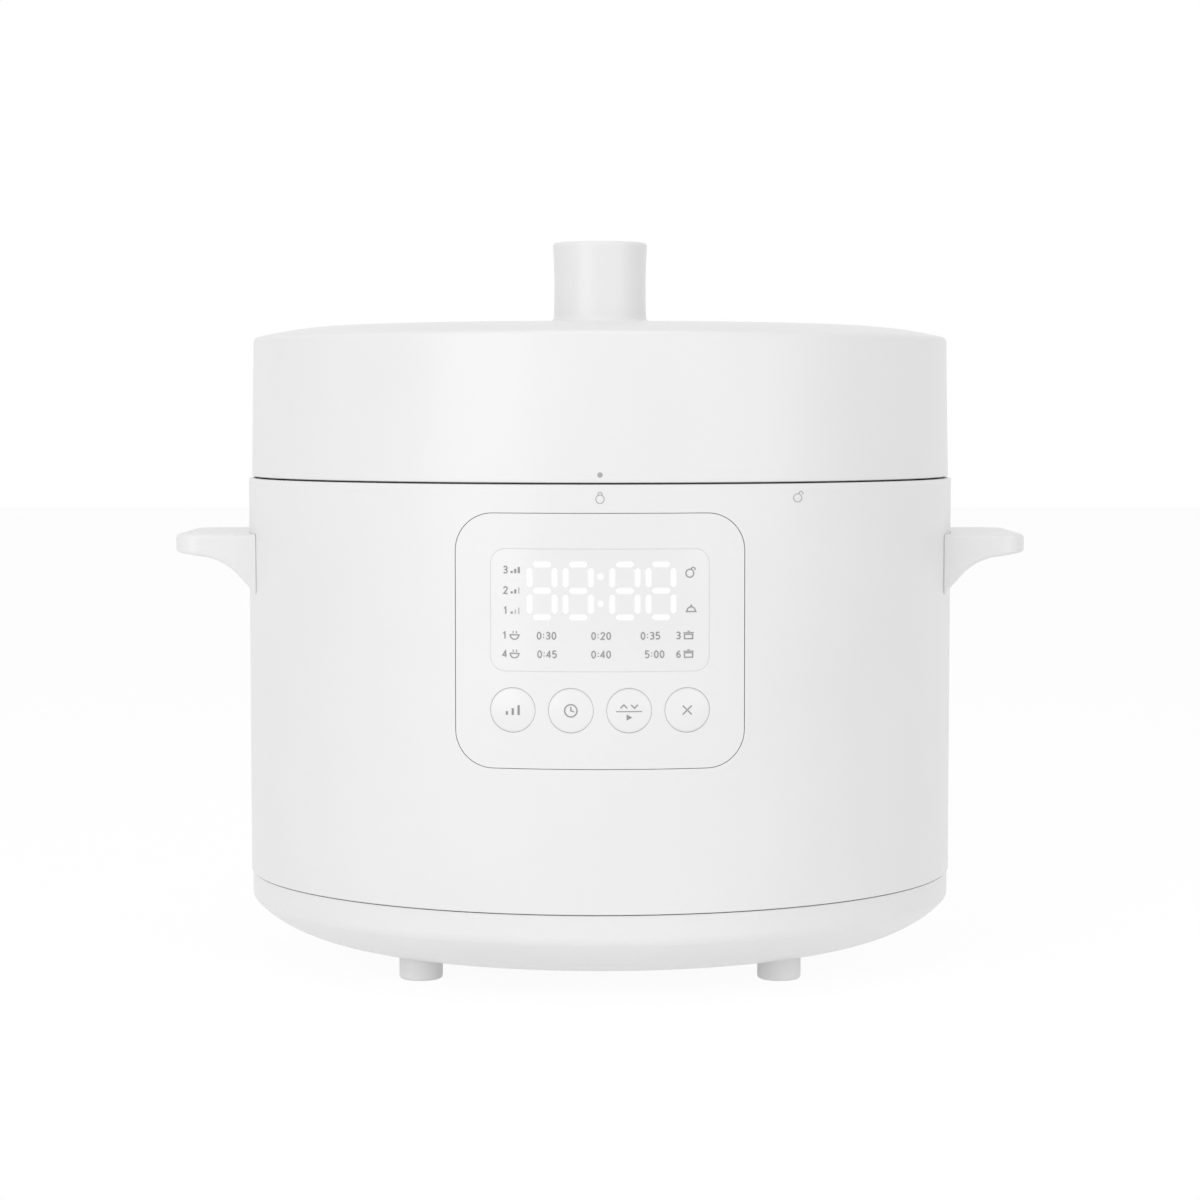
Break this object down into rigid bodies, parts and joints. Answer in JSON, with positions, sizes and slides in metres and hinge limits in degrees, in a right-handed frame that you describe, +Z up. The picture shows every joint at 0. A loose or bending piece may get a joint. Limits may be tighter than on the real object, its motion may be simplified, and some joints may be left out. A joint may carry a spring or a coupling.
{
  "type": "electric pressure cooker",
  "caption": "Round electric pressure cooker with a twist-lock lid, steam knob, side handles and a curved front panel with a clock window and push buttons, for pressure cooking food.",
  "frame": {"origin": "on the ground under the cooker's axis", "axes": "+Z up along the axis, -Y out of the control panel, +X to the right of someone who faces the panel"},
  "size_m": [0.3276, 0.276, 0.28],
  "materials": {
    "white_shell": "satin white moulding",
    "white_keys": "smooth white moulding",
    "white_window": "smooth translucent white",
    "grey_plastic": "matt grey moulding",
    "black_plastic": "matt black moulding",
    "wire_sleeve": "soft sleeve",
    "board_green": "solder mask",
    "transformer_iron": "laminated",
    "pot_steel": "brushed",
    "lock_steel": "turned",
    "heater_aluminium": "as cast",
    "element_steel": "heat-darkened",
    "bright_steel": "plated",
    "brass_pins": "plated",
    "grey_rubber": "matt",
    "seal_silicone": "soft matt"
  },
  "bodies": {
    "base": {"outer_housing": "white_shell", "top_collar": "grey_plastic", "bottom_base": "white_shell", "rubber_feet": "grey_rubber", "base_screws": "bright_steel", "handle_left": "white_shell", "handle_right": "white_shell", "handle_screws": "bright_steel", "power_inlet": "black_plastic", "inlet_pins": "brass_pins", "power_board": "board_green", "board_screws": "bright_steel", "transformer": "transformer_iron", "relay": "black_plastic", "capacitors": "black_plastic", "terminal_block": "black_plastic", "wiring": "wire_sleeve", "outer_pot": "pot_steel", "bayonet_ring": "lock_steel", "inner_pot": "pot_steel", "heating_plate": "heater_aluminium", "heating_element": "element_steel", "spring_plate": "lock_steel", "sensor_cup": "lock_steel", "sensor_spring": "bright_steel", "pressure_switch": "black_plastic", "thermal_fuse": "lock_steel", "control_panel": "white_shell", "display_window": "white_window", "display_board": "board_green", "digit_module": "black_plastic", "tact_switches": "black_plastic", "panel_screws": "bright_steel"},
    "sensor": {"sensor_cap": "heater_aluminium"},
    "taste_key": {"taste_button": "white_keys"},
    "timer_key": {"timer_button": "white_keys"},
    "start_key": {"start_button": "white_keys"},
    "cancel_key": {"cancel_button": "white_keys"},
    "vent_core": {"exhaust_pipe": "lock_steel", "exhaust_nut": "lock_steel"},
    "lid": {"lid_cover": "white_shell", "lid_liner": "grey_plastic", "lid_pan": "pot_steel", "seal_ring": "seal_silicone", "steam_shield": "grey_plastic", "pan_nuts": "bright_steel", "lid_screws": "bright_steel", "float_seat": "lock_steel", "lock_guide": "grey_plastic", "lever_bracket": "grey_plastic", "lever_pin": "bright_steel", "vent_spring": "bright_steel", "lock_spring": "bright_steel"},
    "lock": {"lock_bar": "grey_plastic"},
    "float": {"float_pin": "lock_steel", "float_seal": "seal_silicone"},
    "vent": {"vent_button": "white_keys", "vent_pushrod": "grey_plastic"},
    "lever": {"vent_lever": "grey_plastic"},
    "weight": {"limit_valve": "lock_steel"}
  },
  "joints": [
    {"name": "lid_lift", "type": "slide", "parent": "base", "child": "vent_core", "axis": [0, 0, 1], "range_m": [0, 0.25]},
    {"name": "lid_twist", "type": "hinge", "parent": "vent_core", "child": "lid", "pos_m": [0, 0, 0.2], "axis": [0, 0, 1], "range_deg": [0, 31]},
    {"name": "lock_slide", "type": "slide", "parent": "lid", "child": "lock", "axis": [-0.7071, 0.7071, 0], "range_m": [0, 0.0035], "deforming": ["lock_spring"]},
    {"name": "float_rise", "type": "slide", "parent": "lid", "child": "float", "axis": [0, 0, -1], "range_m": [-0.0045, 0]},
    {"name": "vent_press", "type": "slide", "parent": "lid", "child": "vent", "axis": [0, 0, -1], "range_m": [0, 0.003], "stiffness_N_per_m": 350, "springref_m": -0.004, "deforming": ["vent_spring"]},
    {"name": "vent_lever_tilt", "type": "hinge", "parent": "lid", "child": "lever", "pos_m": [0.014, 0, 0.2202], "axis": [0, 1, 0], "range_deg": [0, 17.2]},
    {"name": "weight_lift", "type": "slide", "parent": "vent_core", "child": "weight", "axis": [0, 0, 1], "range_m": [0, 0.0033]},
    {"name": "taste_press", "type": "slide", "parent": "base", "child": "taste_key", "axis": [0, 1, 0], "range_m": [0, 0.0008], "stiffness_N_per_m": 900, "springref_m": -0.001},
    {"name": "timer_press", "type": "slide", "parent": "base", "child": "timer_key", "axis": [0, 1, 0], "range_m": [0, 0.0008], "stiffness_N_per_m": 900, "springref_m": -0.001},
    {"name": "start_press", "type": "slide", "parent": "base", "child": "start_key", "axis": [0, 1, 0], "range_m": [0, 0.0008], "stiffness_N_per_m": 900, "springref_m": -0.001},
    {"name": "cancel_press", "type": "slide", "parent": "base", "child": "cancel_key", "axis": [0, 1, 0], "range_m": [0, 0.0008], "stiffness_N_per_m": 900, "springref_m": -0.001},
    {"name": "sensor_press", "type": "slide", "parent": "base", "child": "sensor", "axis": [0, 0, 1], "range_m": [-0.003, 0], "stiffness_N_per_m": 400, "springref_m": 0.003, "deforming": ["sensor_spring"]}
  ],
  "couplings": [
    {"joint": "lock_slide", "follows": "lid_twist", "m_per_rad": 0.0064504},
    {"joint": "vent_lever_tilt", "follows": "vent_press", "rad_per_m": 100},
    {"joint": "weight_lift", "follows": "vent_press", "ratio": 1.09}
  ]
}
